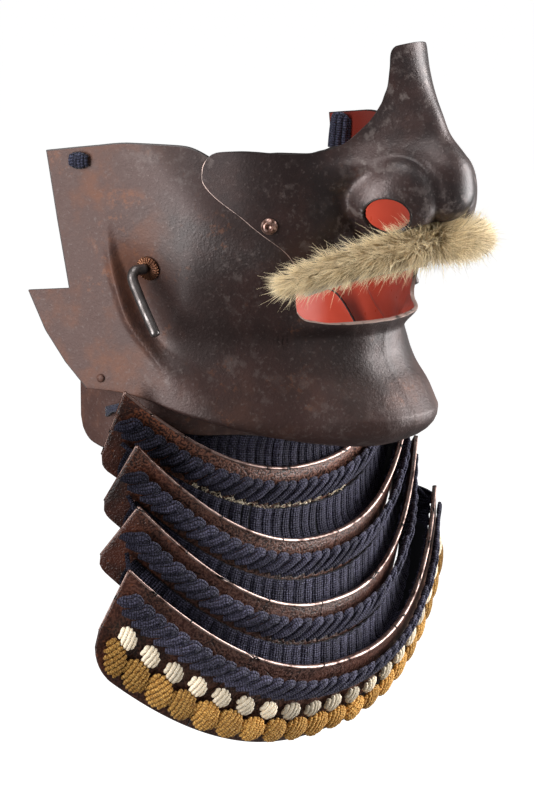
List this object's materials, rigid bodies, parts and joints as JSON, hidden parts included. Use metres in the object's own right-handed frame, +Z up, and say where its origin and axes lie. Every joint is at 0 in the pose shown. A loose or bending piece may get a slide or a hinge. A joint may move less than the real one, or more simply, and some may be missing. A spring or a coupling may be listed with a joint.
{
  "type": "samurai face guard",
  "caption": "Iron half mask with a pinned nose plate and fur moustache, and a hanging throat guard of cord-laced lacquered lames.",
  "frame": {"origin": "seat of the wearer's chin inside the mask, on the mask's middle plane", "axes": "+X to the wearer's left, -Y ahead of the face, +Z up as worn"},
  "size_m": [0.205, 0.1428, 0.275],
  "materials": {
    "russet_iron": "hammered russet iron, dark brown lacquer, red lacquer inside",
    "nose_iron": "smooth darker iron, satin, red lacquer inside",
    "copper": "worn copper",
    "lacquered_hide": "red-brown lacquer over rawhide, worn copper-coloured rims",
    "indigo_silk": "braided indigo silk, matt",
    "white_silk": "braided cream silk, matt",
    "gold_silk": "braided gold silk, matt",
    "fur": "straw-coloured animal hair"
  },
  "bodies": {
    "root": {"face_plate": "russet_iron", "collar_plate": "russet_iron", "cord_hook_left": "russet_iron", "cord_hook_right": "russet_iron", "collar_rivet_left": "russet_iron", "collar_rivet_right": "russet_iron", "nose_plate": "nose_iron", "hook_washer_left": "copper", "hook_washer_right": "copper", "nose_stud_left": "copper", "nose_stud_right": "copper", "throat_lame_1": "lacquered_hide", "throat_lame_2": "lacquered_hide", "throat_lame_3": "lacquered_hide", "throat_lame_4": "lacquered_hide", "lacing_loops_1": "indigo_silk", "lacing_loops_2": "indigo_silk", "lacing_loops_3": "indigo_silk", "lacing_loops_4": "indigo_silk", "lacing_curtain_1": "indigo_silk", "lacing_curtain_2": "indigo_silk", "lacing_curtain_3": "indigo_silk", "lacing_curtain_4": "indigo_silk", "side_lace_left_1": "indigo_silk", "side_lace_left_2": "indigo_silk", "side_lace_left_3": "indigo_silk", "side_lace_right_1": "indigo_silk", "side_lace_right_2": "indigo_silk", "side_lace_right_3": "indigo_silk", "temple_cord_left": "indigo_silk", "temple_cord_right": "indigo_silk", "white_knots": "white_silk", "gold_knots": "gold_silk", "moustache_left": "fur", "moustache_right": "fur"}
  },
  "joints": []
}
